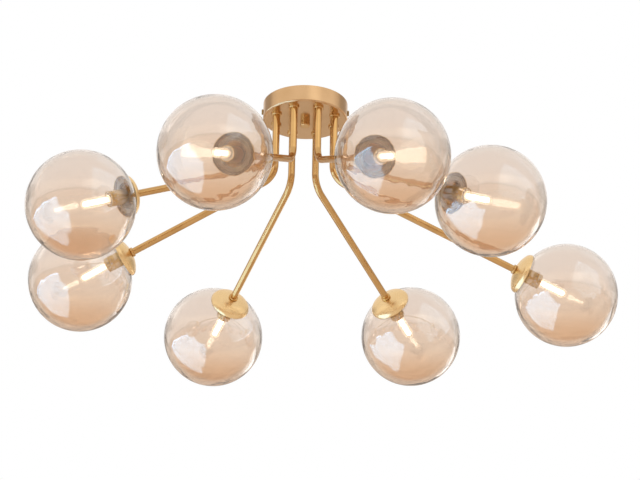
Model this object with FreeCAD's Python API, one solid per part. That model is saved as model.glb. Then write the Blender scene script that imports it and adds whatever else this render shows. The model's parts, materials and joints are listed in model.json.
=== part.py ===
import FreeCAD, Part
import math
import os

# A ceiling light with eight glass globes on swivelling arms.
# Millimetres, +Z up. The origin lies on the ceiling plane, at the middle of the ceiling bracket.
# Azimuths are in degrees: 0 points to -Y, and 90 points to +X.

# Canopy, the round pan that closes against the ceiling
canopy_radius = 61.0
canopy_height = 25.0
canopy_wall = 1.0
canopy_edge_radius = 2.5

# Ring of arms
arm_count = 8
first_stem_azimuth = -20.6
arm_turns = (1.2, -4.9, -18.7, -7.1, -10.1, -0.5, 4.3, 3.2)
standard_reach = 291.0
short_reach = 270.0
long_reach = 359.0
arm_reaches = (standard_reach, standard_reach, short_reach, long_reach,
               standard_reach, standard_reach, standard_reach, standard_reach)

# Levels below the canopy's underside
bend_drop = 84.0
globe_drop = 214.4

# Arm tube
tube_radius = 5.0
tube_wall = 1.0
tube_bend_radius = 30.0
end_collar_radius = 7.0
end_collar_height = 3.0

# Glass globe and its threaded neck
globe_radius = 75.0
globe_wall = 2.0
neck_radius = 19.0
neck_stand_out = 3.5
thread_pitch = 1.5
thread_turns = 3

# Spun cap over the neck, whose rim lies lower than the ball's top
cap_radius = 30.0
cap_overlap = 4.5
cap_height = 14.5
cap_wall = 1.0
cap_shoulder_radius = 8.0
fitter_wall = 1.6

# Gasket between the cap's fitter and the glass
gasket_radius = 24.0

# Lampholder, which reaches down into the ball
holder_radius = 10.75
holder_reach = 31.0
holder_chamfer = 0.8
tube_stand_in = 2.0
bulb_recess_depth = 13.0
vent_radius = 1.3
vent_depth = 1.5
vent_count = 10
vent_rows = 2
face_vent_radius = 0.7
face_vent_count = 8

# Capsule bulb with two pins
bulb_radius = 6.9
bulb_base_radius = 7.2
pin_radius = 0.5
pin_spacing = 9.0
pin_length = 11.5
bulb_stand_out = 44.0

# Fasteners of the stems and of the middle
collar_radius = 7.5
collar_height = 3.0
collar_chamfer = 0.6
washer_radius = 9.0
washer_thickness = 1.0
washer_rim_gap = 5.9
nut_across_flats = 14.0
nut_height = 4.0
stem_stand_out = 3.0
nipple_radius = 4.9
nipple_bore_radius = 3.5
nipple_engagement = 6.0
cap_nut_radius = 6.75
cap_nut_height = 10.0
cap_nut_edge_radius = 1.5

# Ceiling bracket, a bar with its two ends bent down
bracket_thickness = 1.5
bracket_width = 20.0
bracket_bend_radius = 2.5
bracket_tab_depth = 17.0
slot_spacing = 60.0
slot_length = 20.0
slot_width = 5.0

# Side screws through the canopy's rim into the bracket's tabs
side_screw_radius = 2.0
side_screw_head_radius = 4.0
side_screw_head_height = 2.2
side_screw_drop = 12.5
side_screw_stand_in = 1.5
drive_slot_width = 1.0
drive_slot_depth = 1.0

# Terminal block on the canopy's floor, with its screws
block_length = 34.0
block_depth = 16.0
block_height = 11.0
block_washer_gap = 2.2
terminal_spacing = 8.0
terminal_row_spacing = 10.0
terminal_entry_radius = 1.6
terminal_entry_depth = 4.0
terminal_screw_radius = 1.5
terminal_screw_stand_out = 0.6
terminal_screw_length = 4.0

# Earth stud on the canopy's floor
earth_stud_radius = 2.0
earth_stud_height = 9.0
earth_nut_radius = 4.2
earth_nut_height = 3.2
earth_ring_share = 0.8

# Leads from the stems to the terminal block
lead_radius = 1.2
lead_level = 7.0
lead_bend_radius = 3.0
lead_inside_stem = 4.0
lead_inside_block = 2.0
lead_nipple_gap = 2.0
lead_detour = (16.5, 13.0)

# Clearances
turning_gap = 0.1
screw_gap = 0.3
seat_gap = 0.2
slip_gap = 0.4
bracket_gap = 0.2
cut_overrun = 1.0

# Ring of stems, set by the washers inside the rim
stem_ring_radius = canopy_radius - canopy_wall - washer_radius - washer_rim_gap

# The bracket reaches until its tabs' corners stand clear of the rim
bracket_reach = math.sqrt((canopy_radius - canopy_wall - bracket_gap) ** 2 - (bracket_width / 2) ** 2)

# Levels that follow from these sizes
underside = -canopy_height
floor_level = underside + canopy_wall
washer_top = floor_level + washer_thickness
nut_top = washer_top + nut_height
stem_top = nut_top + stem_stand_out
bend_level = underside - bend_drop
globe_level = underside - globe_drop
block_top = floor_level + block_height

# Places along an arm's end axis, from the globe's centre towards the cap
neck_top = globe_radius + neck_stand_out
cap_rim = globe_radius - cap_overlap
holder_face = globe_radius - holder_reach
bulb_tip = holder_face - bulb_stand_out
cap_apex = cap_rim + cap_height
cap_inner_radius = cap_radius - cap_wall
cap_inner_height = cap_height - cap_wall
thread_length = thread_pitch * thread_turns
fitter_radius = neck_radius + screw_gap
fitter_low = neck_top - thread_length
gasket_top = fitter_low - seat_gap
neck_bore_radius = neck_radius - globe_wall
lip_radius = globe_wall / 2


def vector(x, y, z):
    return FreeCAD.Vector(x, y, z)


def point(radius, level):
    """A point of a turned outline, at a radius from the axis and a level along it."""
    return FreeCAD.Vector(radius, 0, level)


def line(start, end):
    return Part.LineSegment(start, end).toShape()


def arc(start, middle, end):
    return Part.Arc(start, middle, end).toShape()


def outline(*points):
    """Straight edges from each point to the next."""
    return [line(a, b) for a, b in zip(points, points[1:])]


def turned(edges):
    """The solid that a closed outline sweeps once round the Z axis."""
    return Part.Face(Part.Wire(edges)).revolve(vector(0, 0, 0), vector(0, 0, 1), 360)


def cylinder(radius, low, high, centre=(0, 0)):
    return Part.makeCylinder(radius, high - low, vector(centre[0], centre[1], low))


def ring(outer, inner, low, high, centre=(0, 0)):
    return cylinder(outer, low, high, centre).cut(cylinder(inner, low, high, centre))


def hex_nut(across_flats, bore, low, high, centre):
    """A hexagonal nut with chamfered corners, standing upright."""
    corner = across_flats / math.sqrt(3)
    corners = [vector(centre[0] + corner * math.cos(math.radians(60 * k)),
                      centre[1] + corner * math.sin(math.radians(60 * k)), low) for k in range(7)]
    prism = Part.Face(Part.makePolygon(corners)).extrude(vector(0, 0, high - low))
    rise = corner - across_flats / 2
    blank = turned(outline(point(0, low), point(across_flats / 2, low), point(corner, low + rise),
                           point(corner, high - rise), point(across_flats / 2, high),
                           point(0, high), point(0, low)))
    blank.translate(vector(centre[0], centre[1], 0))
    return prism.common(blank).cut(cylinder(bore, low - cut_overrun, high + cut_overrun, centre))


def rounded_path(points, radius):
    """Straight runs through the points, with each corner turned by a tangent arc."""
    edges = []
    start = points[0]
    for before, corner, after in zip(points, points[1:], points[2:]):
        back = (before - corner).normalize()
        ahead = (after - corner).normalize()
        half_angle = back.getAngle(ahead) / 2
        inward = (back + ahead).normalize()
        arc_start = corner + back * (radius / math.tan(half_angle))
        arc_end = corner + ahead * (radius / math.tan(half_angle))
        arc_middle = corner + inward * (radius / math.sin(half_angle) - radius)
        edges += [line(start, arc_start), arc(arc_start, arc_middle, arc_end)]
        start = arc_end
    edges.append(line(start, points[-1]))
    return Part.Wire(edges)


def rod(path, radius):
    """A round bar swept along a path, square to the path where it starts."""
    first = path.Edges[0]
    start = first.FirstParameter
    circle = Part.Circle(first.valueAt(start), first.tangentAt(start), radius).toShape()
    return path.makePipeShell([Part.Wire([circle])], True, False)


def circle_places(count, radius, first_azimuth=0.0):
    """Places on a circle, evenly spaced, by azimuth."""
    places = []
    for k in range(count):
        azimuth = math.radians(first_azimuth + 360 * k / count)
        places.append((radius * math.sin(azimuth), -radius * math.cos(azimuth)))
    return places


def fuse_all(shapes):
    return shapes[0].multiFuse(shapes[1:]).removeSplitter()


def group(shapes):
    return Part.makeCompound(shapes)


stem_places = circle_places(arm_count, stem_ring_radius, first_stem_azimuth)
rearmost_stem = max(y for x, y in stem_places)
block_offset = rearmost_stem - washer_radius - block_washer_gap - block_depth / 2


class Arm:
    """Where one arm stands, which way it points and where its globe hangs."""

    def __init__(self, index):
        stem_azimuth = first_stem_azimuth + 360 * index / arm_count
        self.number = index + 1
        self.azimuth = stem_azimuth + arm_turns[index % len(arm_turns)]
        self.reach = arm_reaches[index % len(arm_reaches)]
        self.stem = stem_places[index]
        self.slope = math.atan2(bend_level - globe_level, self.reach)
        turn = math.radians(self.azimuth)
        self.heading = vector(math.sin(turn), -math.cos(turn), 0)
        self.axis = self.heading * math.cos(self.slope) + vector(0, 0, -math.sin(self.slope))
        self.bend = vector(self.stem[0], self.stem[1], bend_level)
        self.centre = self.bend + self.heading * self.reach
        self.centre.z = globe_level

    def placed(self, shape):
        """A shape made round +Z, with the globe's centre at the origin, set on this arm's end."""
        swing = FreeCAD.Rotation(vector(0, 0, 1), self.azimuth - 90)
        tilt = FreeCAD.Rotation(vector(0, 1, 0), math.degrees(self.slope) - 90)
        copy = shape.copy()
        copy.Placement = FreeCAD.Placement(self.centre, swing.multiply(tilt))
        return copy

    def along(self, distance):
        """The point on the arm's end axis at a distance from the globe's centre."""
        return self.centre - self.axis * distance


def crown_radius(radius, height, shoulder):
    """Radius of the crown arc that runs on smoothly from the shoulder arc."""
    inset = radius - shoulder
    return (inset ** 2 + height ** 2 - shoulder ** 2) / (2 * (height - shoulder))


def dome_level(radius, height, shoulder, at_radius):
    """Level of a dome's crown over its rim, at a distance from the axis."""
    crown = crown_radius(radius, height, shoulder)
    return height - crown + math.sqrt(crown ** 2 - at_radius ** 2)


def dome_edges(radius, height, shoulder, hole):
    """A dome's outline from its rim to its hole: the shoulder arc, then the crown arc."""
    crown = crown_radius(radius, height, shoulder)
    centre = cap_rim + height - crown
    lean = math.atan2(radius - shoulder, crown - height)
    shoulder_lean = (lean + math.pi / 2) / 2
    crown_lean = (lean + math.asin(hole / crown)) / 2
    rim = point(radius, cap_rim)
    bulge = point(radius - shoulder + shoulder * math.sin(shoulder_lean),
                  cap_rim + shoulder * math.cos(shoulder_lean))
    join = point(crown * math.sin(lean), centre + crown * math.cos(lean))
    middle = point(crown * math.sin(crown_lean), centre + crown * math.cos(crown_lean))
    top = point(hole, cap_rim + dome_level(radius, height, shoulder, hole))
    return [arc(rim, bulge, join), arc(join, middle, top)], rim, top


dome_seat = cap_rim + dome_level(cap_inner_radius, cap_inner_height,
                                 cap_shoulder_radius - cap_wall, holder_radius)
tube_end = dome_seat - tube_stand_in
holder_top = dome_seat - screw_gap


def arm_tube(arm):
    """The bent tube from the canopy into the cap, and the collar that is screwed up against the cap.

    The tube's stem, bend and slanted run are a solid each, and they meet face to face.
    """
    top = vector(arm.stem[0], arm.stem[1], stem_top)
    path = rounded_path([top, arm.bend, arm.along(tube_end)], tube_bend_radius)
    solids = [arm.placed(ring(end_collar_radius, tube_radius + turning_gap,
                              cap_apex, cap_apex + end_collar_height))]
    for edge in path.Edges:
        stretch = Part.Wire([edge])
        solids.append(rod(stretch, tube_radius).cut(rod(stretch, tube_radius - tube_wall)))
    return group(solids)


def cap():
    """The spun dome, with the threaded fitter that takes the globe's neck."""
    hole = tube_radius + turning_gap
    shoulder = cap_shoulder_radius - cap_wall
    outside, rim, top = dome_edges(cap_radius, cap_height, cap_shoulder_radius, hole)
    inside, inner_rim, inner_top = dome_edges(cap_inner_radius, cap_inner_height, shoulder, hole)
    dome = turned(outside + [line(top, inner_top)] + inside[::-1] + [line(inner_rim, rim)])
    fitter_top = cap_rim + dome_level(cap_inner_radius, cap_inner_height, shoulder, fitter_radius)
    fitter = ring(fitter_radius + fitter_wall, fitter_radius, fitter_low, fitter_top + cap_wall / 4)
    return dome.fuse(fitter).removeSplitter()


def lampholder():
    """The vented sleeve on its core, bored for the tube above and for the bulb below."""
    body = turned(outline(point(0, holder_face), point(holder_radius - holder_chamfer, holder_face),
                          point(holder_radius, holder_face + holder_chamfer),
                          point(holder_radius, holder_top), point(0, holder_top),
                          point(0, holder_face)))
    recess_top = holder_face + bulb_recess_depth
    cuts = [cylinder(tube_radius + turning_gap, tube_end - seat_gap, holder_top + cut_overrun),
            cylinder(bulb_base_radius + slip_gap, holder_face - cut_overrun, recess_top)]
    for side in (-1, 1):
        cuts.append(cylinder(pin_radius + slip_gap, recess_top - cut_overrun,
                             recess_top + pin_length + slip_gap, (side * pin_spacing / 2, 0)))
    face_ring = (holder_radius + bulb_base_radius + slip_gap) / 2
    for place in circle_places(face_vent_count, face_ring):
        cuts.append(cylinder(face_vent_radius, holder_face - cut_overrun,
                             holder_face + vent_depth, place))
    row_step = bulb_recess_depth / (vent_rows + 1)
    for row in range(vent_rows):
        level = holder_face + row_step * (row + 1)
        for place in circle_places(vent_count, 1.0, 180 * row / vent_count):
            outward = vector(place[0], place[1], 0)
            start = outward * (holder_radius - vent_depth) + vector(0, 0, level)
            cuts.append(Part.makeCylinder(vent_radius, vent_depth + cut_overrun, start, outward))
    return body.cut(cuts)


def bulb():
    """The capsule bulb: a long round envelope, its base and two pins."""
    shoulder = bulb_base_radius - bulb_radius
    base_low = holder_face - holder_chamfer
    base_top = holder_face + bulb_recess_depth - seat_gap
    tip = point(0, bulb_tip)
    side_low = point(bulb_radius, bulb_tip + bulb_radius)
    lean = math.radians(45)
    bulge = point(bulb_radius * math.sin(lean),
                  bulb_tip + bulb_radius - bulb_radius * math.cos(lean))
    edges = [arc(tip, bulge, side_low)]
    edges += outline(side_low, point(bulb_radius, base_low),
                     point(bulb_base_radius, base_low + shoulder),
                     point(bulb_base_radius, base_top), point(0, base_top), tip)
    pins = [cylinder(pin_radius, base_top - cut_overrun, base_top + pin_length - seat_gap,
                     (side * pin_spacing / 2, 0)) for side in (-1, 1)]
    return fuse_all([turned(edges)] + pins)


def sphere_level(radius, at_radius):
    return math.sqrt(radius ** 2 - at_radius ** 2)


def globe():
    """The blown glass ball with its open neck and rounded lip."""
    inner_radius = globe_radius - globe_wall
    neck_foot = point(neck_radius, sphere_level(globe_radius, neck_radius))
    bore_foot = point(neck_bore_radius, sphere_level(inner_radius, neck_bore_radius))
    lip_low = neck_top - lip_radius
    edges = [arc(point(0, -globe_radius), point(globe_radius, 0), neck_foot),
             line(neck_foot, point(neck_radius, lip_low)),
             arc(point(neck_radius, lip_low), point(neck_radius - lip_radius, neck_top),
                 point(neck_bore_radius, lip_low)),
             line(point(neck_bore_radius, lip_low), bore_foot),
             arc(bore_foot, point(inner_radius, 0), point(0, -inner_radius)),
             line(point(0, -inner_radius), point(0, -globe_radius))]
    return turned(edges)


def gasket():
    """The silicone ring round the neck, tapered to lie on the glass."""
    inner = neck_radius + screw_gap
    seat = globe_radius + screw_gap
    return turned(outline(point(inner, sphere_level(seat, inner)),
                          point(gasket_radius, sphere_level(seat, gasket_radius)),
                          point(gasket_radius, gasket_top), point(inner, gasket_top),
                          point(inner, sphere_level(seat, inner))))


def canopy():
    """The pan, with holes for the stems, the middle nipple and the side screws."""
    inner_radius = canopy_radius - canopy_wall
    inner_edge = canopy_edge_radius - canopy_wall
    corner = canopy_radius - canopy_edge_radius
    corner_level = underside + canopy_edge_radius
    lean = math.radians(45)
    edges = [line(point(canopy_radius, 0), point(canopy_radius, corner_level)),
             arc(point(canopy_radius, corner_level),
                 point(corner + canopy_edge_radius * math.sin(lean),
                       corner_level - canopy_edge_radius * math.cos(lean)),
                 point(corner, underside))]
    edges += outline(point(corner, underside), point(0, underside), point(0, floor_level),
                     point(corner, floor_level))
    edges.append(arc(point(corner, floor_level),
                     point(corner + inner_edge * math.sin(lean),
                           corner_level - inner_edge * math.cos(lean)),
                     point(inner_radius, corner_level)))
    edges += outline(point(inner_radius, corner_level), point(inner_radius, 0),
                     point(canopy_radius, 0))
    low = underside - cut_overrun
    high = floor_level + cut_overrun
    cuts = [cylinder(tube_radius + turning_gap, low, high, place) for place in stem_places]
    cuts.append(cylinder(nipple_radius + turning_gap, low, high))
    cuts.append(Part.makeCylinder(side_screw_radius + screw_gap, canopy_radius * 2 + cut_overrun * 2,
                                  vector(-canopy_radius - cut_overrun, 0, -side_screw_drop),
                                  vector(1, 0, 0)))
    return turned(edges).cut(cuts)


def stem_collars():
    """The threaded collars under the canopy, one on each stem."""
    low = underside - collar_height
    bore = tube_radius + turning_gap
    blank = turned(outline(point(bore, low), point(collar_radius - collar_chamfer, low),
                           point(collar_radius, low + collar_chamfer),
                           point(collar_radius, underside), point(bore, underside),
                           point(bore, low)))
    return group([blank.translated(vector(x, y, 0)) for x, y in stem_places])


def stem_washers():
    return group([ring(washer_radius, tube_radius + turning_gap, floor_level, washer_top, place)
                  for place in stem_places])


def hex_nuts():
    """The nuts on the eight stems, and the same nut on the middle nipple under the bracket."""
    bore = tube_radius + turning_gap
    nuts = [hex_nut(nut_across_flats, bore, washer_top, nut_top, place) for place in stem_places]
    nuts.append(hex_nut(nut_across_flats, bore, -bracket_thickness - nut_height,
                        -bracket_thickness, (0, 0)))
    return group(nuts)


def centre_nipple():
    return ring(nipple_radius, nipple_bore_radius, underside - nipple_engagement, -seat_gap)


def cap_nut():
    """The closed nut that shows at the middle of the canopy's underside."""
    low = underside - cap_nut_height
    edge = cap_nut_radius - cap_nut_edge_radius
    lean = math.radians(45)
    edges = outline(point(0, low), point(edge, low))
    edges.append(arc(point(edge, low),
                     point(edge + cap_nut_edge_radius * math.sin(lean),
                           low + cap_nut_edge_radius - cap_nut_edge_radius * math.cos(lean)),
                     point(cap_nut_radius, low + cap_nut_edge_radius)))
    edges += outline(point(cap_nut_radius, low + cap_nut_edge_radius),
                     point(cap_nut_radius, underside), point(0, underside), point(0, low))
    bore = cylinder(nipple_radius + turning_gap, underside - nipple_engagement - seat_gap,
                    underside + cut_overrun)
    return turned(edges).cut(bore)


def ceiling_bracket():
    """The bar against the ceiling, slotted for two ceiling screws, with a tapped tab at each end."""
    reach = bracket_reach
    bend = bracket_bend_radius
    inner_bend = bend - bracket_thickness
    inner_reach = reach - bracket_thickness
    tip = -bracket_tab_depth
    lean = math.radians(45)
    back = -bracket_width / 2

    def corner(side, radius):
        return vector(side * (reach - bend + radius * math.sin(lean)), back,
                      -bend + radius * math.cos(lean))

    def at(x, z):
        return vector(x, back, z)

    edges = [line(at(-reach, tip), at(-reach, -bend)),
             arc(at(-reach, -bend), corner(-1, bend), at(bend - reach, 0)),
             line(at(bend - reach, 0), at(reach - bend, 0)),
             arc(at(reach - bend, 0), corner(1, bend), at(reach, -bend)),
             line(at(reach, -bend), at(reach, tip)),
             line(at(reach, tip), at(inner_reach, tip)),
             line(at(inner_reach, tip), at(inner_reach, -bend)),
             arc(at(inner_reach, -bend), corner(1, inner_bend),
                 at(reach - bend, -bracket_thickness)),
             line(at(reach - bend, -bracket_thickness), at(bend - reach, -bracket_thickness)),
             arc(at(bend - reach, -bracket_thickness), corner(-1, inner_bend),
                 at(-inner_reach, -bend)),
             line(at(-inner_reach, -bend), at(-inner_reach, tip)),
             line(at(-inner_reach, tip), at(-reach, tip))]
    bar = Part.Face(Part.Wire(edges)).extrude(vector(0, bracket_width, 0))
    low = -bracket_thickness - cut_overrun
    cuts = [cylinder(nipple_radius + turning_gap, low, cut_overrun)]
    straight = slot_length - slot_width
    for side in (-1, 1):
        middle = side * slot_spacing / 2
        cuts.append(Part.makeBox(straight, slot_width, cut_overrun - low,
                                 vector(middle - straight / 2, -slot_width / 2, low)))
        for end in (-1, 1):
            cuts.append(cylinder(slot_width / 2, low, cut_overrun, (middle + end * straight / 2, 0)))
    cuts.append(Part.makeCylinder(side_screw_radius + turning_gap, reach * 2 + cut_overrun * 2,
                                  vector(-reach - cut_overrun, 0, -side_screw_drop),
                                  vector(1, 0, 0)))
    return bar.cut(cuts)


def side_screws():
    """The two slotted screws that hold the canopy to the bracket's tabs."""
    tab_inside = bracket_reach - bracket_thickness
    head_low = canopy_radius + turning_gap
    head_top = head_low + side_screw_head_height
    edge = side_screw_head_height / 3
    blank = turned(outline(point(0, tab_inside - side_screw_stand_in),
                           point(side_screw_radius, tab_inside - side_screw_stand_in),
                           point(side_screw_radius, head_low),
                           point(side_screw_head_radius, head_low),
                           point(side_screw_head_radius, head_top - edge),
                           point(side_screw_head_radius - edge, head_top), point(0, head_top),
                           point(0, tab_inside - side_screw_stand_in)))
    slot = Part.makeBox(drive_slot_width, side_screw_head_radius * 2, drive_slot_depth + cut_overrun,
                        vector(-drive_slot_width / 2, -side_screw_head_radius,
                               head_top - drive_slot_depth))
    screw = blank.cut(slot)
    screws = []
    for side in (-1, 1):
        copy = screw.copy()
        copy.Placement = FreeCAD.Placement(vector(0, 0, -side_screw_drop),
                                           FreeCAD.Rotation(vector(0, 1, 0), side * 90))
        screws.append(copy)
    return group(screws)


def terminal_places():
    """The block's entries: a front row and a back row, from -X to +X in each."""
    per_row = arm_count // 2
    places = []
    for row in (-1, 1):
        for k in range(per_row):
            places.append(((k - (per_row - 1) / 2) * terminal_spacing,
                           block_offset + row * terminal_row_spacing / 2))
    return places


def screw_places():
    """Beside each entry, towards the middle of the block, stands its clamping screw."""
    inset = terminal_entry_radius + terminal_screw_radius + turning_gap
    return [(x, y + inset * math.copysign(1, block_offset - y)) for x, y in terminal_places()]


def terminal_block():
    block = Part.makeBox(block_length, block_depth, block_height,
                         vector(-block_length / 2, block_offset - block_depth / 2, floor_level))
    cuts = [cylinder(terminal_entry_radius, block_top - terminal_entry_depth,
                     block_top + cut_overrun, place) for place in terminal_places()]
    cuts += [cylinder(terminal_screw_radius, block_top - terminal_screw_length,
                      block_top + cut_overrun, place) for place in screw_places()]
    return block.cut(cuts)


def terminal_screws():
    top = block_top + terminal_screw_stand_out
    shank_radius = terminal_screw_radius - turning_gap
    screws = []
    for x, y in screw_places():
        screw = cylinder(shank_radius, block_top - terminal_screw_length, top, (x, y))
        slot = Part.makeBox(shank_radius * 2, drive_slot_width / 2, terminal_screw_stand_out,
                            vector(x - shank_radius, y - drive_slot_width / 4,
                                   block_top + turning_gap))
        screws.append(screw.cut(slot))
    return group(screws)


def earth_stud():
    """The brass stud with its clamping nut, midway between two stems."""
    azimuth = math.radians(first_stem_azimuth + 360 * 3 / 2 / arm_count)
    radius = stem_ring_radius * earth_ring_share
    place = (radius * math.sin(azimuth), -radius * math.cos(azimuth))
    stud = cylinder(earth_stud_radius, floor_level, floor_level + earth_stud_height, place)
    nut = cylinder(earth_nut_radius, floor_level, floor_level + earth_nut_height, place)
    return stud.fuse(nut).removeSplitter()


def leads():
    """One lead from each stem's bore to its entry, passing beside the nipple and the ceiling screws."""
    terminals = terminal_places()
    per_row = arm_count // 2
    front_to_back = sorted(range(arm_count), key=lambda k: stem_places[k][1])
    front = sorted(front_to_back[:per_row], key=lambda k: stem_places[k][0])
    back = sorted(front_to_back[per_row:], key=lambda k: stem_places[k][0])
    beside_nipple = nipple_radius + lead_radius + lead_nipple_gap
    shapes = []
    for order, stem in enumerate(front + back):
        x, y = stem_places[stem]
        entry_x, entry_y = terminals[order]
        points = [vector(x, y, stem_top - lead_inside_stem), vector(x, y, -lead_level)]
        if order in (0, per_row - 1):
            points.append(vector(math.copysign(lead_detour[0], x), -lead_detour[1], -lead_level))
        elif order < per_row:
            points.append(vector(math.copysign(beside_nipple, x), 0, -lead_level))
        points += [vector(entry_x, entry_y, -lead_level),
                   vector(entry_x, entry_y, block_top - lead_inside_block)]
        shapes.append(rod(rounded_path(points, lead_bend_radius), lead_radius))
    return group(shapes)


def write(node, shape):
    """Each piece goes to its own file, named after its node."""
    if not shape.isValid():
        print("not valid:", node)
    shape.exportStep(os.path.join("parts", node + ".step"))
    print(node, len(shape.Solids), round(shape.Volume, 1))


os.makedirs("parts", exist_ok=True)
write("canopy", canopy())
write("stem_collars", stem_collars())
write("stem_washers", stem_washers())
write("hex_nuts", hex_nuts())
write("centre_nipple", centre_nipple())
write("cap_nut", cap_nut())
write("ceiling_bracket", ceiling_bracket())
write("side_screws", side_screws())
write("terminal_block", terminal_block())
write("terminal_screws", terminal_screws())
write("earth_stud", earth_stud())
write("leads", leads())
end_pieces = {"cap": cap(), "lampholder": lampholder(), "bulb": bulb(), "gasket": gasket(),
              "globe": globe()}
arms = [Arm(index) for index in range(arm_count)]
for arm in arms:
    write("arm_tube_%d" % arm.number, arm_tube(arm))
    for piece, shape in end_pieces.items():
        write("%s_%d" % (piece, arm.number), arm.placed(shape))
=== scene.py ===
"""A ceiling light: eight champagne glass globes on swivelling satin gold arms."""

import json
import math

import bpy
from mathutils import Matrix, Vector


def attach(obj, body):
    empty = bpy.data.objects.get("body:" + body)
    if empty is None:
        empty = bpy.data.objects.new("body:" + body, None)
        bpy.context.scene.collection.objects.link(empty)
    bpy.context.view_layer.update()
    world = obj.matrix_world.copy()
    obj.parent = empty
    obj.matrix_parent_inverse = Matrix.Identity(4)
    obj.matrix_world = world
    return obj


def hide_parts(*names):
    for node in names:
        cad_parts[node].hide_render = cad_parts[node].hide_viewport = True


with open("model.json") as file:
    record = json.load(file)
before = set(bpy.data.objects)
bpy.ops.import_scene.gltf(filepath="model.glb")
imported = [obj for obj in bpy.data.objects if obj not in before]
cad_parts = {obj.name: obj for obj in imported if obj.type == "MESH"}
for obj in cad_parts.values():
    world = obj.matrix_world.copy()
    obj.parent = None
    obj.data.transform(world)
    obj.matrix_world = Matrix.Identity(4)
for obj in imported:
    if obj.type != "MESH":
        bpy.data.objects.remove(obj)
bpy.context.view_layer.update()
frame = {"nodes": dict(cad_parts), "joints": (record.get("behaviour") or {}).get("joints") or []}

ARMS = range(1, 9)

# End of an arm, in metres along its axis from the globe's centre towards the cap
GLOBE_RADIUS = 0.075
GLASS_WALL = 0.002
NECK_RADIUS = 0.019
NECK_TOP = 0.0785
NECK_FILLET = 0.0006
THREAD_PITCH = 0.0015
THREAD_TURNS = 3
THREAD_DEPTH = 0.00022
THREAD_RUN_OUT = 0.0009
CAP_RADIUS = 0.030
CAP_RIM = 0.0705
CAP_HEIGHT = 0.0145
CAP_WALL = 0.001
CAP_SHOULDER = 0.008
CAP_HOLE = 0.0051
FITTER_GAP = 0.0003
FITTER_WALL = 0.0016
SLEEVE_RADIUS = 0.01075
SLEEVE_FACE = 0.044
SLEEVE_TOP = 0.08246
SLEEVE_WALL = 0.0006
SLEEVE_EDGE = 0.0008
VENTS = 10
VENT_ROWS = 2
VENT_RADIUS = 0.0013
FACE_VENTS = 8
FACE_VENT_RADIUS = 0.0007
VENT_DEPTH = 0.0015
CERAMIC_EDGE = 0.0005
BULB_RADIUS = 0.0069
CORE_RADIUS = 0.0036
BULB_BASE_RADIUS = 0.0072
BULB_RECESS = 0.013
SLIP = 0.0004
PIN_SPACING = 0.009
PIN_RADIUS = 0.0005
PIN_LENGTH = 0.0115

# The bent tube of an arm
TUBE_RADIUS = 0.005
TUBE_WALL = 0.001
TUBE_BEND_RADIUS = 0.030
TUBE_END = 0.08076
STEM_TOP = -0.016
BEND_LEVEL = -0.109
END_COLLAR_RADIUS = 0.007
END_COLLAR_HEIGHT = 0.003
END_COLLAR_EDGE = 0.0004

# Sides of round pieces, and steps along their outlines
AROUND_GLOBE = 128
AROUND_CAP = 96
AROUND_SMALL = 48
AROUND_TUBE = 40
AROUND_PIN = 16
AROUND_VENT = 20
AROUND_FACE_VENT = 16
GLOBE_STEPS = 70
THREAD_STEPS = 36
FITTER_STEPS = 30
DOME_STEPS = 12
TUBE_BEND_STEPS = 20

# How much longer a cutter is than what it cuts, and the radius below which a point is on the axis
CUT_OVERRUN = 0.01
ON_AXIS = 1e-7


# Shader trees written as sums of sockets

class Sum:
    """A socket that adds the Math nodes of the sums it is used in."""

    def __init__(self, tree, socket):
        self.tree = tree
        self.socket = socket

    def maths(self, operation, *values):
        node = self.tree.nodes.new("ShaderNodeMath")
        node.operation = operation
        for socket, value in zip(node.inputs, values):
            if isinstance(value, Sum):
                self.tree.links.new(value.socket, socket)
            else:
                socket.default_value = value
        return Sum(self.tree, node.outputs[0])

    def __add__(self, other):
        return self.maths("ADD", self, other)

    def __radd__(self, other):
        return self.maths("ADD", other, self)

    def __sub__(self, other):
        return self.maths("SUBTRACT", self, other)

    def __rsub__(self, other):
        return self.maths("SUBTRACT", other, self)

    def __mul__(self, other):
        return self.maths("MULTIPLY", self, other)

    def __rmul__(self, other):
        return self.maths("MULTIPLY", other, self)

    def __abs__(self):
        return self.maths("ABSOLUTE", self)

    def root(self):
        return self.maths("SQRT", self)

    def swing(self, reach):
        """A pattern of 0 to 1 as a swing of half the reach to each side of nothing."""
        return (self - 0.5) * reach


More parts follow.
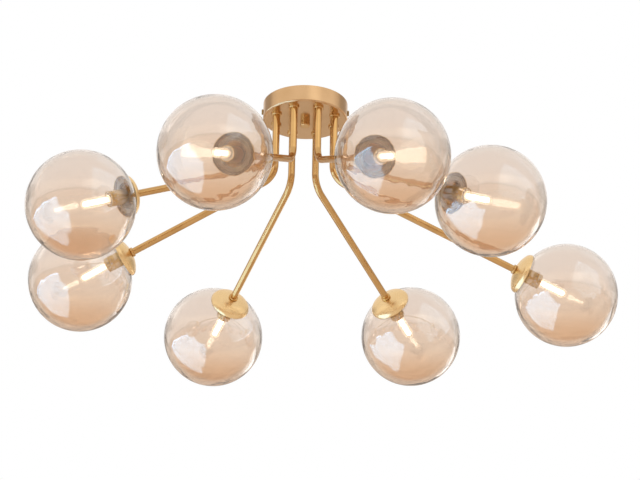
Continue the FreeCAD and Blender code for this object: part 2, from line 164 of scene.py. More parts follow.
class Nodes:
    """The shader tree of one finish, or of the surroundings."""

    def __init__(self, owner, output="OutputMaterial"):
        owner.use_nodes = True
        self.tree = owner.node_tree
        self.tree.nodes.clear()
        self.output = output

    def link(self, value, socket):
        if isinstance(value, Sum):
            self.tree.links.new(value.socket, socket)
        elif socket.type == "RGBA":
            socket.default_value = (*value, 1.0)
        else:
            socket.default_value = value

    def add(self, kind, out=0, settings=None, **values):
        """A node of this kind, its settings made first, and its inputs named with underscores."""
        node = self.tree.nodes.new("ShaderNode" + kind)
        for name, value in (settings or {}).items():
            setattr(node, name, value)
        for name, value in values.items():
            wanted = name.replace("_", " ")
            self.link(value, next(s for s in node.inputs if s.enabled and s.name == wanted))
        if not node.outputs:
            return node
        outputs = [s for s in node.outputs if s.enabled]
        return Sum(self.tree, node.outputs[out] if isinstance(out, str) else outputs[out])

    def light_path(self, name):
        return self.add("LightPath", out=name)

    def place(self):
        return self.add("TexCoord", out="Object")

    def made_at(self):
        """Where a point of a turned or bent piece was before the piece was bent and set in place."""
        return self.add("Attribute", out="Vector", settings={"attribute_name": "made_at"})

    def split(self, vector):
        node = self.tree.nodes.new("ShaderNodeSeparateXYZ")
        self.tree.links.new(vector.socket, node.inputs[0])
        return [Sum(self.tree, socket) for socket in node.outputs]

    def join(self, x, y, z):
        return self.add("CombineXYZ", X=x, Y=y, Z=z)

    def noise(self, vector, scale, detail=2.0, roughness=0.5):
        return self.add("TexNoise", Vector=vector, Scale=scale, Detail=detail, Roughness=roughness)

    def ramp(self, value, low, high):
        """0 below low, 1 above high, and smooth in between."""
        return self.add("MapRange", settings={"interpolation_type": "SMOOTHSTEP"}, Value=value,
                        From_Min=low, From_Max=high)

    def fall(self, value, low, high):
        """1 below low, 0 above high, and smooth in between."""
        return 1.0 - self.ramp(value, low, high)

    def mix(self, share, first, second):
        return self.add("Mix", settings={"data_type": "RGBA"}, Factor=share, A=first, B=second)

    def bump(self, height, distance):
        return self.add("Bump", Height=height, Distance=distance, Strength=1.0)

    def finish(self, shader):
        self.add(self.output, Surface=shader)


def finish_nodes(name):
    made = bpy.data.materials.new(name)
    return made, Nodes(made)


# Patterns in the finishes, by the noise's scale: the larger, the finer
FINE_GRAIN = 900.0
SPUN_RINGS = 2600.0
SPUN_BANDS = 420.0
CANOPY_RINGS = 1900.0
SLEEVING_GRAIN = 1500.0
TUBE_CLOUDS = 34.0
CAP_CLOUDS = 45.0
CANOPY_CLOUDS = 22.0
MOULDED_CLOUDS = 60.0
GLASS_WAVES = 24.0
GLASS_RIPPLES = 46.0
COAT_VEIL = 6.0

# Heights of the bumps in the finishes, in metres
GLASS_WAVE_DEPTH = 0.002
BULB_FROST = 0.000003
CANOPY_GRAIN = 0.000003
SLEEVING_DEPTH = 0.00001

# Levels in the room between which the glass turns warmer low down: a painted reflection of a tan floor
TAN_FLOOR_REFLECTION_LEVELS = (-0.285, -0.215)
DEEP_TAN_REFLECTION_LEVELS = (-0.315, -0.275)

# How far up a bulb, from the globe's centre, its light grows dimmer
DIM_END = (0.036, 0.045)

# How far edge on a surface is seen, of 0 to 1, where the colour of its rim begins and is full
GLASS_LIMB = (0.46, 0.64)
ENVELOPE_RIM = (0.35, 0.85)

# How far back in the canopy the sleeving of the leads turns from brown to blue
LEAD_SPLIT = (0.0055, 0.0065)

BULB_WHITE = (0.95, 0.93, 0.88)
BULB_CREAM = (0.88, 0.85, 0.78)


def satin_metal(name, light, deep, roughness, grain, on_made=False):
    """Plated metal with soft clouds in colour and gloss, and a fine satin grain."""
    made, n = finish_nodes(name)
    place = n.made_at() if on_made else n.place()
    cloud = n.noise(place, TUBE_CLOUDS, 3.0)
    fine = n.noise(place, FINE_GRAIN)
    colour = n.mix(n.ramp(cloud, 0.3, 0.72), light, deep)
    rough = roughness + cloud.swing(0.12) + fine.swing(0.06)
    n.finish(n.add("BsdfPrincipled", Base_Color=colour, Roughness=rough, Metallic=1.0,
                   Normal=n.bump(fine, grain)))
    return made


def spun_metal(name, light, deep, roughness, ring_depth):
    """Metal spun on a lathe: fine rings round the axis that the piece was turned on."""
    made, n = finish_nodes(name)
    place = n.made_at()
    x, y, z = n.split(place)
    across = n.join((x * x + y * y).root(), z * 0.6, 0.0)
    rings = n.noise(across, SPUN_RINGS, 2.0, 0.7)
    bands = n.noise(across, SPUN_BANDS, 1.0)
    cloud = n.noise(place, CAP_CLOUDS, 3.0)
    colour = n.mix(n.ramp(cloud * 0.6 + rings * 0.4, 0.35, 0.65), light, deep)
    rough = roughness + cloud.swing(0.12) + rings.swing(0.1)
    n.finish(n.add("BsdfPrincipled", Base_Color=colour, Roughness=rough, Metallic=1.0,
                   Normal=n.bump(rings * 0.7 + bands * 0.3, ring_depth)))
    return made


def canopy_metal(name, light, deep, roughness):
    """The canopy's plating, with the faint rings of its spinning round the middle."""
    made, n = finish_nodes(name)
    place = n.place()
    x, y, z = n.split(place)
    rings = n.noise(n.join((x * x + y * y).root(), z, 0.0), CANOPY_RINGS, 2.0, 0.7)
    cloud = n.noise(place, CANOPY_CLOUDS, 3.0)
    fine = n.noise(place, FINE_GRAIN)
    colour = n.mix(n.ramp(cloud, 0.3, 0.7), light, deep)
    rough = roughness + cloud.swing(0.1) + rings.swing(0.06)
    n.finish(n.add("BsdfPrincipled", Base_Color=colour, Roughness=rough, Metallic=1.0,
                   Normal=n.bump(rings * 0.5 + fine * 0.5, CANOPY_GRAIN)))
    return made


def champagne_glass():
    """Clear glass with a faint champagne mirror coat, slow waves in its walls, and low down a painted
    reflection of a tan floor.
    """
    made, n = finish_nodes("champagne_lustre_glass")
    place = n.place()
    x, y, z = n.split(place)
    # Low down the glass turns tan and more mirror-like: a painted reflection of a tan floor, not the
    # glass's own tint
    painted_reflection_share = n.fall(z, *TAN_FLOOR_REFLECTION_LEVELS)
    waves = n.noise(place, GLASS_WAVES)
    ripples = n.noise(place, GLASS_RIPPLES, 0.0)
    veil = n.noise(place, COAT_VEIL)
    colour = n.mix(painted_reflection_share, (0.917, 0.86, 0.81), (0.905, 0.785, 0.67))
    colour = n.mix(n.fall(z, *DEEP_TAN_REFLECTION_LEVELS), colour, (0.86, 0.65, 0.47))
    limb = n.ramp(n.add("LayerWeight", out="Facing", Blend=0.5), *GLASS_LIMB)
    colour = n.mix(limb * 0.8, colour, (0.96, 0.93, 0.90))
    height = waves * (0.25 + painted_reflection_share * 0.8) + ripples * (0.04 + painted_reflection_share * 0.10)
    n.finish(n.add("BsdfPrincipled", Base_Color=colour, IOR=1.45, Transmission_Weight=1.0,
                   Metallic=0.09 + painted_reflection_share * 0.05 + veil.swing(0.05), Roughness=0.004 + veil * 0.008,
                   Normal=n.bump(height, GLASS_WAVE_DEPTH)))
    return made


def lit_core():
    """The glowing column in the middle of a bulb, dimmer near its base."""
    made, n = finish_nodes("lit_core")
    x, y, z = n.split(n.made_at())
    grain = n.noise(n.made_at(), FINE_GRAIN)
    glow = n.mix(n.ramp(z, *DIM_END) * 0.8, (1.0, 0.96, 0.88), (0.55, 0.36, 0.18))
    n.finish(n.add("BsdfPrincipled", Base_Color=n.mix(grain, BULB_WHITE, BULB_CREAM),
                   Roughness=0.4 + grain * 0.2, Emission_Color=glow, Emission_Strength=4.0,
                   Normal=n.bump(grain, BULB_FROST)))
    return made


def lit_envelope():
    """The thin clear envelope, filled with a warm glow and plainest where it is seen edge on."""
    made, n = finish_nodes("lit_envelope")
    frost = n.noise(n.made_at(), FINE_GRAIN)
    rim = n.ramp(n.add("LayerWeight", out="Facing", Blend=0.5), *ENVELOPE_RIM)
    glow = n.mix(rim, (1.0, 0.84, 0.60), (0.45, 0.32, 0.20))
    n.finish(n.add("BsdfPrincipled", Base_Color=n.mix(frost, BULB_WHITE, BULB_CREAM),
                   Roughness=0.12 + frost * 0.1, Emission_Color=glow, Emission_Strength=0.7,
                   Alpha=0.22 + rim * 0.22, Normal=n.bump(frost, BULB_FROST)))
    return made


def grained(name, light, deep, roughness, scale, depth, metallic=0.0, coat=0.0):
    """A plain moulded, fired or plated surface with its fine grain."""
    made, n = finish_nodes(name)
    place = n.place()
    grain = n.noise(place, scale, 3.0)
    cloud = n.noise(place, MOULDED_CLOUDS)
    n.finish(n.add("BsdfPrincipled", Base_Color=n.mix(n.ramp(cloud, 0.3, 0.7), light, deep),
                   Roughness=roughness + grain.swing(0.15), Metallic=metallic, Coat_Weight=coat,
                   Normal=n.bump(grain, depth)))
    return made


def lead_sleeving():
    """Insulation of the eight leads: brown where they come from the front, blue where from the back."""
    made, n = finish_nodes("lead_sleeving")
    x, y, z = n.split(n.place())
    grain = n.noise(n.place(), SLEEVING_GRAIN)
    tone = n.mix(n.ramp(y + x * 0.5, *LEAD_SPLIT), (0.20, 0.085, 0.04), (0.035, 0.10, 0.32))
    n.finish(n.add("BsdfPrincipled", Base_Color=tone, Roughness=0.42 + grain * 0.12,
                   Normal=n.bump(grain, SLEEVING_DEPTH)))
    return made


# Each finish: its name, light and deep colour, roughness, then the grain's depth or its scale and depth
TUBE_GOLD = satin_metal("satin_gold_tube", (0.68, 0.43, 0.18), (0.60, 0.37, 0.145), 0.11, 0.0000007,
                        on_made=True)
NODE_GOLD = satin_metal("satin_gold_fitting", (0.68, 0.44, 0.20), (0.60, 0.38, 0.16), 0.18, 0.0000015)
CANOPY_GOLD = canopy_metal("satin_gold_canopy", (0.67, 0.45, 0.25), (0.61, 0.40, 0.21), 0.20)
SCREW_BRONZE = satin_metal("dark_gold_screw", (0.42, 0.28, 0.12), (0.34, 0.22, 0.09), 0.3, 0.0000015)
CAP_GOLD = spun_metal("spun_gold", (0.93, 0.71, 0.39), (0.88, 0.65, 0.34), 0.27, 0.000001)
# The cap's inside and its fitter: the same spun gold, darker and browner, as painted shade inside the cap
CAP_INSIDE_PAINTED_SHADE = spun_metal("spun_gold_inside_painted_shade", (0.46, 0.28, 0.13), (0.36, 0.21, 0.09), 0.12, 0.000002)
SLEEVE_GOLD = satin_metal("lampholder_gold", (0.80, 0.60, 0.32), (0.66, 0.47, 0.23), 0.3, 0.000002)
GLASS = champagne_glass()
LIT_CORE = lit_core()
ENVELOPE = lit_envelope()
CERAMIC = grained("white_ceramic", (0.86, 0.84, 0.79), (0.80, 0.77, 0.71), 0.35, 900.0, 0.000015,
                  coat=0.2)
PIN_STEEL = grained("pin_steel", (0.74, 0.74, 0.73), (0.62, 0.62, 0.61), 0.25, 1500.0, 0.000005,
                    metallic=1.0)
SILICONE = grained("silicone", (0.80, 0.78, 0.73), (0.74, 0.71, 0.66), 0.5, 800.0, 0.00002)
ZINC = grained("zinc_plated_steel", (0.62, 0.63, 0.62), (0.50, 0.51, 0.52), 0.36, 700.0, 0.00001,
               metallic=1.0)
BRASS = grained("bare_brass", (0.70, 0.52, 0.22), (0.58, 0.41, 0.16), 0.3, 900.0, 0.00001, metallic=1.0)
NYLON = grained("white_nylon", (0.83, 0.83, 0.80), (0.78, 0.77, 0.73), 0.45, 1100.0, 0.00002)
LEADS = lead_sleeving()


# Where each arm's pieces stand, read from the joints

joints = {joint["name"]: joint for joint in frame["joints"]}


class Arm:
    """One arm: its stem, the way its end points, and the globe's centre."""

    def __init__(self, number):
        swivel = joints["arm_swivel_%d" % number]
        unscrew = joints["globe_unscrew_%d" % number]
        self.number = number
        self.stem = Vector(swivel["pos_m"])
        self.axis = Vector(unscrew["axis"]).normalized()
        self.centre = Vector(unscrew["pos_m"])
        turn = math.atan2(-self.axis.y, -self.axis.x)
        lean = math.acos(-self.axis.z)
        self.matrix = (Matrix.Translation(self.centre) @ Matrix.Rotation(turn, 4, "Z")
                       @ Matrix.Rotation(lean, 4, "Y"))

    def along(self, distance):
        return self.centre - self.axis * distance


arms = [Arm(number) for number in ARMS]


# Meshes of turned pieces

def bend(centre, radius, start, end, steps):
    """Points of an arc in the plane of an outline, by angles in degrees from the radius direction."""
    points = []
    for k in range(steps + 1):
        angle = math.radians(start + (end - start) * k / steps)
        points.append((centre[0] + radius * math.cos(angle), centre[1] + radius * math.sin(angle)))
    return points


def ladder(radius, low, high, steps):
    """Points up a straight wall."""
    return [(radius, low + (high - low) * k / steps) for k in range(steps + 1)]


def turned_mesh(name, outlines, around, thread=None):
    """Outlines of (radius, level) points swept round +Z. Where an outline starts on the axis it is
    closed by a pole there, and elsewhere its last point runs on to its first."""
    points, faces = [], []
    for outline in outlines:
        rings = []
        for radius, level in outline:
            first = len(points)
            if radius < ON_AXIS:
                points.append((0.0, 0.0, level))
                rings.append([first] * around)
                continue
            for k in range(around):
                angle = 2 * math.pi * k / around
                r = radius + (thread(radius, level, angle) if thread else 0.0)
                points.append((r * math.cos(angle), r * math.sin(angle), level))
            rings.append([first + k for k in range(around)])
        pairs = list(zip(rings, rings[1:]))
        if outline[0][0] > ON_AXIS:
            pairs.append((rings[-1], rings[0]))
        for lower, upper in pairs:
            for k in range(around):
                m = (k + 1) % around
                corners = [lower[k], lower[m], upper[m], upper[k]]
                faces.append([c for i, c in enumerate(corners) if c != corners[i - 1]])
    mesh = bpy.data.meshes.new(name)
    mesh.from_pydata(points, [], faces)
    made_at = mesh.attributes.new("made_at", "FLOAT_VECTOR", "POINT")
    made_at.data.foreach_set("vector", [c for p in points for c in p])
    return mesh


def rounded(mesh, angle=40.0):
    """Smooth shading, with edges sharper than the angle kept."""
    mesh.shade_smooth()
    mesh.set_sharp_from_angle(angle=math.radians(angle))
    return mesh


def piece(name, mesh, body, finish, matrix=None, replaced=()):
    """A finished piece: its place in its mesh, its finish, its body and the nodes it stands for."""
    mesh = mesh.copy()
    mesh.name = name
    if matrix is not None:
        mesh.transform(matrix)
    if finish is not None:
        mesh.materials.clear()
        mesh.materials.append(finish)
    made = bpy.data.objects.new(name, mesh)
    bpy.context.scene.collection.objects.link(made)
    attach(made, body)
    if replaced:
        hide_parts(*replaced)


def joined(name, parts):
    """Several meshes as one: parts are pairs of a mesh and its finish, or None where it has its own."""
    objects = []
    for mesh, finish in parts:
        mesh = mesh.copy()
        if finish is not None:
            mesh.materials.clear()
            mesh.materials.append(finish)
        objects.append(bpy.data.objects.new(name, mesh))
        bpy.context.scene.collection.objects.link(objects[-1])
    with bpy.context.temp_override(active_object=objects[0], selected_editable_objects=objects):
        bpy.ops.object.join()
    mesh = objects[0].data
    bpy.data.objects.remove(objects[0])
    return mesh


def neck_thread(radius, level, angle):
    """The helical ridge round the outside of the glass neck."""
    low = NECK_TOP - THREAD_PITCH * THREAD_TURNS - THREAD_RUN_OUT
    high = NECK_TOP - GLASS_WALL / 2
    if not low < level < high or radius < NECK_RADIUS - GLASS_WALL / 2:
        return 0.0
    fade = min(1.0, (level - low) / THREAD_PITCH, (high - level) / THREAD_PITCH)
    return THREAD_DEPTH * fade * math.cos(2 * math.pi * level / THREAD_PITCH - angle)


def fitter_thread(radius, level, angle):
    """The groove inside the cap's fitter that the neck's ridge runs in."""
    if radius > NECK_RADIUS + FITTER_GAP + FITTER_WALL / 2:
        return 0.0
    return THREAD_DEPTH * math.cos(2 * math.pi * level / THREAD_PITCH - angle)


def globe_mesh():
    """The ball's two faces, a wall apart, and its threaded neck with a round lip."""
    inner = GLOBE_RADIUS - GLASS_WALL
    bore = NECK_RADIUS - GLASS_WALL
    foot = math.degrees(math.acos(NECK_RADIUS / GLOBE_RADIUS))
    inner_foot = math.degrees(math.acos(bore / inner))
    foot_level = GLOBE_RADIUS * math.sin(math.radians(foot))
    inner_level = inner * math.sin(math.radians(inner_foot))
    lip_level = NECK_TOP - GLASS_WALL / 2
    outline = [(0.0, -GLOBE_RADIUS)] + bend((0, 0), GLOBE_RADIUS, -90, foot, GLOBE_STEPS)[1:]
    outline += ladder(NECK_RADIUS, foot_level + NECK_FILLET, lip_level, THREAD_STEPS)
    outline += bend((NECK_RADIUS - GLASS_WALL / 2, lip_level), GLASS_WALL / 2, 0, 180, steps=10)[1:]
    outline += ladder(bore, lip_level - NECK_FILLET, inner_level + NECK_FILLET, steps=4)
    outline += bend((0, 0), inner, inner_foot, -90, GLOBE_STEPS)[:-1] + [(0.0, -inner)]
    return rounded(turned_mesh("globe", [outline], AROUND_GLOBE, neck_thread), angle=60)


class Dome:
    """A spun dome over the cap's rim: a shoulder's arc, then a crown's."""

    def __init__(self, radius, height, shoulder):
        self.shoulder = shoulder
        self.inset = radius - shoulder
        self.crown = (self.inset ** 2 + height ** 2 - shoulder ** 2) / (2 * (height - shoulder))
        self.centre = CAP_RIM + height - self.crown
        self.join = math.degrees(math.atan2(self.crown - height, self.inset))

    def points(self, hole):
        """From the rim up to the hole."""
        top = math.degrees(math.acos(hole / self.crown))
        return (bend((self.inset, CAP_RIM), self.shoulder, 0, self.join, DOME_STEPS)
                + bend((0, self.centre), self.crown, self.join, top, DOME_STEPS * 2)[1:])

    def level(self, radius):
        """How far along the axis the crown is at this radius."""
        return self.centre + math.sqrt(self.crown ** 2 - radius ** 2)


def cap_mesh():
    """The spun cap, with a darker copy of its gold inside as painted shade, and the threaded fitter that
    takes the globe's neck.
    """
    edge = CAP_WALL / 2
    inside = Dome(CAP_RADIUS - CAP_WALL, CAP_HEIGHT - CAP_WALL, CAP_SHOULDER - CAP_WALL)
    outer = Dome(CAP_RADIUS, CAP_HEIGHT, CAP_SHOULDER).points(CAP_HOLE)
    rim = bend((CAP_RADIUS - edge, CAP_RIM + edge), edge, 180, 360, steps=8)
    shell = rim + outer[1:] + inside.points(CAP_HOLE)[::-1][:-1]
    skin = rounded(turned_mesh("dome", [shell], AROUND_CAP))
    skin.materials.append(CAP_GOLD)
    skin.materials.append(CAP_INSIDE_PAINTED_SHADE)
    first_inside = (len(rim) + len(outer) - 1) * AROUND_CAP
    for face in skin.polygons[first_inside:]:
        face.material_index = 1
    bore = NECK_RADIUS + FITTER_GAP
    low = NECK_TOP - THREAD_PITCH * THREAD_TURNS
    top = inside.level(bore) - CAP_WALL / 4
    wall = ladder(bore + FITTER_WALL, low, top, steps=2) + ladder(bore, top, low, FITTER_STEPS)
    fitter = rounded(turned_mesh("fitter", [wall], AROUND_CAP, fitter_thread))
    return joined("cap", [(skin, None), (fitter, CAP_INSIDE_PAINTED_SHADE)])


# Geometry Nodes trees

class Tree:
    """A Geometry Nodes tree with named inputs, built node by node."""

    def __init__(self, name, inputs):
        self.tree = bpy.data.node_groups.new(name, "GeometryNodeTree")
        self.tree.interface.new_socket("Geometry", in_out="OUTPUT", socket_type="NodeSocketGeometry")
        self.tree.interface.new_socket("Geometry", in_out="INPUT", socket_type="NodeSocketGeometry")
        self.names = {}
        for title, kind in inputs.items():
            made = self.tree.interface.new_socket(title, in_out="INPUT", socket_type="NodeSocket" + kind)
            self.names[title] = made.identifier
        self.given = self.tree.nodes.new("NodeGroupInput")
        self.out = self.tree.nodes.new("NodeGroupOutput")

    def input(self, title):
        return self.given.outputs[title]

    def add(self, kind, settings=None, values=None):
        """A node; values are set or linked by the name or number of its enabled inputs."""
        node = self.tree.nodes.new(kind)
        for name, value in (settings or {}).items():
            setattr(node, name, value)
        for key, value in (values or {}).items():
            enabled = [s for s in node.inputs if s.enabled]
            socket = enabled[key] if isinstance(key, int) else next(s for s in enabled if s.name == key)
            if isinstance(value, bpy.types.NodeSocket):
                self.tree.links.new(value, socket)
            else:
                socket.default_value = value
        return next(s for s in node.outputs if s.enabled)

    def maths(self, operation, *values):
        return self.add("ShaderNodeMath", {"operation": operation}, dict(enumerate(values)))

    def vector(self, x, y, z):
        return self.add("ShaderNodeCombineXYZ", values={"X": x, "Y": y, "Z": z})

    def bar(self, around, radius, length, middle=0.0):
        """A round bar along Z."""
        made = self.add("GeometryNodeMeshCylinder", values={"Vertices": around, "Radius": radius,
                                                            "Depth": length})
        return self.add("GeometryNodeTransform", values={"Geometry": made,
                                                         "Translation": self.vector(0.0, 0.0, middle)})

    def copies(self, **values):
        """Instances of a geometry on points, made real."""
        placed = self.add("GeometryNodeInstanceOnPoints", values=values)
        return self.add("GeometryNodeRealizeInstances", values={0: placed})

    def cut(self, solid, *cutters):
        node = self.tree.nodes.new("GeometryNodeMeshBoolean")
        node.operation = "DIFFERENCE"
        node.solver = "EXACT"
        self.tree.links.new(solid, node.inputs["Mesh 1"])
        for cutter in cutters:
            self.tree.links.new(cutter, node.inputs["Mesh 2"])
        return node.outputs[0]

    def close(self, geometry, material):
        real = self.add("GeometryNodeRealizeInstances", values={0: geometry})
        done = self.add("GeometryNodeSetMaterial", values={"Geometry": real, "Material": material})
        self.tree.links.new(done, self.out.inputs[0])

    def mesh(self, name, start=None, **values):
        """The mesh that the tree gives for these values of its inputs, from a start or from nothing."""
        holder = bpy.data.objects.new(name, start or bpy.data.meshes.new(name + "_start"))
        bpy.context.scene.collection.objects.link(holder)
        modifier = holder.modifiers.new("shape", "NODES")
        modifier.node_group = self.tree
        for title, value in values.items():
            modifier[self.names[title.replace("_", " ")]] = value
        graph = bpy.context.evaluated_depsgraph_get()
        made = bpy.data.meshes.new_from_object(holder.evaluated_get(graph))
        holder.modifiers.clear()
        bpy.data.objects.remove(holder)
        made.name = name
        return made


def bent_tube_tree():
    """A tube along a stem, round a bend and out to the cap."""
    t = Tree("Bent tube", {"Stem Top": "Vector", "Bend": "Vector", "Tube End": "Vector",
                           "Tube Radius": "Float", "Bend Radius": "Float", "Bend Steps": "Int",
                           "Around": "Int", "Finish": "Material"})
    line = t.add("GeometryNodeMeshLine", {"mode": "OFFSET"}, {"Count": 3})
    switch = t.tree.nodes.new("GeometryNodeIndexSwitch")
    switch.data_type = "VECTOR"
    switch.index_switch_items.new()
    t.tree.links.new(t.add("GeometryNodeInputIndex"), switch.inputs[0])
    for slot, title in enumerate(("Stem Top", "Bend", "Tube End")):
        t.tree.links.new(t.input(title), switch.inputs[slot + 1])
    placed = t.add("GeometryNodeSetPosition", values={"Geometry": line, "Position": switch.outputs[0]})
    curve = t.add("GeometryNodeMeshToCurve", values={0: placed})
    bent = t.add("GeometryNodeFilletCurve", {"mode": "POLY"},
                 {"Curve": curve, "Count": t.input("Bend Steps"), "Radius": t.input("Bend Radius")})
    length = t.tree.nodes.new("GeometryNodeSplineParameter").outputs["Length"]
    marked = t.add("GeometryNodeStoreNamedAttribute", {"data_type": "FLOAT", "domain": "POINT"},
                   {"Geometry": bent, "Name": "run", "Value": length})
    circle = t.add("GeometryNodeCurvePrimitiveCircle",
                   values={"Resolution": t.input("Around"), "Radius": t.input("Tube Radius")})
    ring = t.add("GeometryNodeStoreNamedAttribute", {"data_type": "FLOAT_VECTOR", "domain": "POINT"},
                 {"Geometry": circle, "Name": "ring", "Value": t.add("GeometryNodeInputPosition")})
    swept = t.add("GeometryNodeCurveToMesh", values={"Curve": marked, "Profile Curve": ring})
    run = t.add("GeometryNodeInputNamedAttribute", {"data_type": "FLOAT"}, {"Name": "run"})
    place = t.add("GeometryNodeInputNamedAttribute", {"data_type": "FLOAT_VECTOR"}, {"Name": "ring"})
    split = t.tree.nodes.new("ShaderNodeSeparateXYZ")
    t.tree.links.new(place, split.inputs[0])
    straight = t.vector(split.outputs[0], split.outputs[1], run)
    done = t.add("GeometryNodeStoreNamedAttribute", {"data_type": "FLOAT_VECTOR", "domain": "POINT"},
                 {"Geometry": swept, "Name": "made_at", "Value": straight})
    t.close(done, t.input("Finish"))
    return t


def vented_sleeve_tree():
    """A thin sleeve with rows of round vents, staggered from row to row."""
    t = Tree("Vented sleeve", {"Sleeve Radius": "Float", "Wall": "Float", "Length": "Float",
                               "Low": "Float", "Vents": "Int", "Rows": "Int", "Vent Radius": "Float",
                               "Row Step": "Float", "Finish": "Material"})
    middle = t.maths("ADD", t.input("Low"), t.maths("MULTIPLY", t.input("Length"), 0.5))
    bore = t.maths("SUBTRACT", t.input("Sleeve Radius"), t.input("Wall"))
    sleeve = t.bar(AROUND_SMALL * 2, t.input("Sleeve Radius"), t.input("Length"), middle)
    hollow = t.bar(AROUND_SMALL * 2, bore, t.maths("ADD", t.input("Length"), CUT_OVERRUN), middle)
    count = t.maths("MULTIPLY", t.input("Vents"), t.input("Rows"))
    points = t.add("GeometryNodePoints", values={"Count": count})
    index = t.add("GeometryNodeInputIndex")
    row = t.maths("FLOOR", t.maths("DIVIDE", index, t.input("Vents")))
    step = t.maths("DIVIDE", 2 * math.pi, t.input("Vents"))
    angle = t.maths("MULTIPLY", step, t.maths("ADD", index, t.maths("MULTIPLY", row, 0.5)))
    across = t.maths("COSINE", angle)
    along = t.maths("SINE", angle)
    rise = t.maths("MULTIPLY", t.maths("ADD", row, 1.0), t.input("Row Step"))
    level = t.maths("ADD", t.input("Low"), rise)
    spot = t.vector(t.maths("MULTIPLY", across, t.input("Sleeve Radius")),
                    t.maths("MULTIPLY", along, t.input("Sleeve Radius")), level)
    placed = t.add("GeometryNodeSetPosition", values={"Geometry": points, "Position": spot})
    outwards = t.add("FunctionNodeAlignRotationToVector", {"axis": "Z"},
                     {"Vector": t.vector(across, along, 0.0)})
    drill = t.bar(AROUND_VENT, t.input("Vent Radius"), t.maths("MULTIPLY", t.input("Wall"), 6.0))
    drills = t.copies(Points=placed, Instance=drill, Rotation=outwards)
    t.close(t.cut(sleeve, hollow, drills), t.input("Finish"))
    return t


def face_vents_tree():
    """A ring of small round vents, cut from a face of the geometry that is given."""
    t = Tree("Face vents", {"Ring Radius": "Float", "Vents": "Int", "Vent Radius": "Float",
                            "Face": "Float", "Depth": "Float", "Finish": "Material"})
    circle = t.add("GeometryNodeMeshCircle", values={"Vertices": t.input("Vents"),
                                                     "Radius": t.input("Ring Radius")})
    placed = t.add("GeometryNodeTransform", values={"Geometry": circle,
                                                    "Translation": t.vector(0.0, 0.0, t.input("Face"))})
    drill = t.bar(AROUND_FACE_VENT, t.input("Vent Radius"), t.maths("MULTIPLY", t.input("Depth"), 2.0))
    t.close(t.cut(t.input("Geometry"), t.copies(Points=placed, Instance=drill)), t.input("Finish"))
    return t


def walled(mesh, thickness, name):
    """The mesh of a thin skin with a wall of this thickness on its inside."""
    holder = bpy.data.objects.new(name, mesh)
    bpy.context.scene.collection.objects.link(holder)
    wall = holder.modifiers.new("wall", "SOLIDIFY")
    wall.thickness = thickness
    wall.offset = -1.0
    graph = bpy.context.evaluated_depsgraph_get()
    made = bpy.data.meshes.new_from_object(holder.evaluated_get(graph))
    bpy.data.objects.remove(holder)
    return made


def end_collar_mesh():
    """The collar on the tube's end, screwed up against the cap."""
    edge = END_COLLAR_EDGE
    low = CAP_RIM + CAP_HEIGHT
    high = low + END_COLLAR_HEIGHT
    within_wall = TUBE_RADIUS - TUBE_WALL / 2
    outline = [(within_wall, low), (END_COLLAR_RADIUS - edge, low), (END_COLLAR_RADIUS, low + edge)]
    outline += bend((END_COLLAR_RADIUS - edge, high - edge), edge, 0, 90, steps=4)
    outline += [(TUBE_RADIUS + edge, high), (TUBE_RADIUS, high + edge / 2), (within_wall, high + edge / 2)]
    return rounded(turned_mesh("end_collar", [outline], AROUND_SMALL))


def ceramic_core_mesh():
    """The ceramic core in the sleeve: its recess takes the bulb, and its face has eight small vents."""
    outer = SLEEVE_RADIUS - SLEEVE_WALL
    bore = BULB_BASE_RADIUS + SLIP
    edge = CERAMIC_EDGE
    face = SLEEVE_FACE + edge
    floor = SLEEVE_FACE + BULB_RECESS
    outline = [(0.0, floor), (bore - edge, floor), (bore, floor - edge), (bore, face + edge),
               (bore + edge, face), (outer - edge, face), (outer, face + edge),
               (outer, SLEEVE_TOP - edge), (outer - edge, SLEEVE_TOP), (0.0, SLEEVE_TOP)]
    plain = turned_mesh("core", [outline], AROUND_SMALL)
    drilled = face_vents_tree().mesh("core", plain, Ring_Radius=(outer + bore) / 2, Vents=FACE_VENTS,
                                     Vent_Radius=FACE_VENT_RADIUS, Face=face, Depth=VENT_DEPTH,
                                     Finish=CERAMIC)
    return rounded(drilled, angle=35)


def sleeve_mesh():
    """The vented sleeve, up from its rolled rim."""
    low = SLEEVE_FACE + SLEEVE_EDGE / 2
    return rounded(vented_sleeve_tree().mesh(
        "sleeve", Sleeve_Radius=SLEEVE_RADIUS, Wall=SLEEVE_WALL, Length=SLEEVE_TOP - low, Low=low,
        Vents=VENTS, Rows=VENT_ROWS, Vent_Radius=VENT_RADIUS, Row_Step=BULB_RECESS / (VENT_ROWS + 1),
        Finish=SLEEVE_GOLD))


def sleeve_rim_mesh():
    """The rolled rim of the sleeve round the core's face."""
    roll = SLEEVE_EDGE / 2
    outline = bend((SLEEVE_RADIUS - roll, SLEEVE_FACE + roll), roll, 0, 330, steps=11)
    return rounded(turned_mesh("rim", [outline], AROUND_SMALL * 2), angle=60)


def capsule_mesh():
    """The bulb's envelope, round at its tip and drawn in at its base, with the glowing core inside."""
    base = SLEEVE_FACE - SLEEVE_EDGE
    envelope = bend((0.0, BULB_RADIUS), BULB_RADIUS, -90, 0, steps=14)
    envelope += ladder(BULB_RADIUS, BULB_RADIUS, base, steps=6)[1:]
    envelope += [(BULB_RADIUS - SLIP, base + SLIP), (0.0, base + SLIP)]
    glowing = bend((0.0, BULB_RADIUS), CORE_RADIUS, -90, 0, steps=8)
    glowing += [(CORE_RADIUS, base), (0.0, base)]
    return joined("capsule", [(rounded(turned_mesh("capsule", [outline], AROUND_SMALL), angle=50), finish)
                              for outline, finish in ((envelope, ENVELOPE), (glowing, LIT_CORE))])


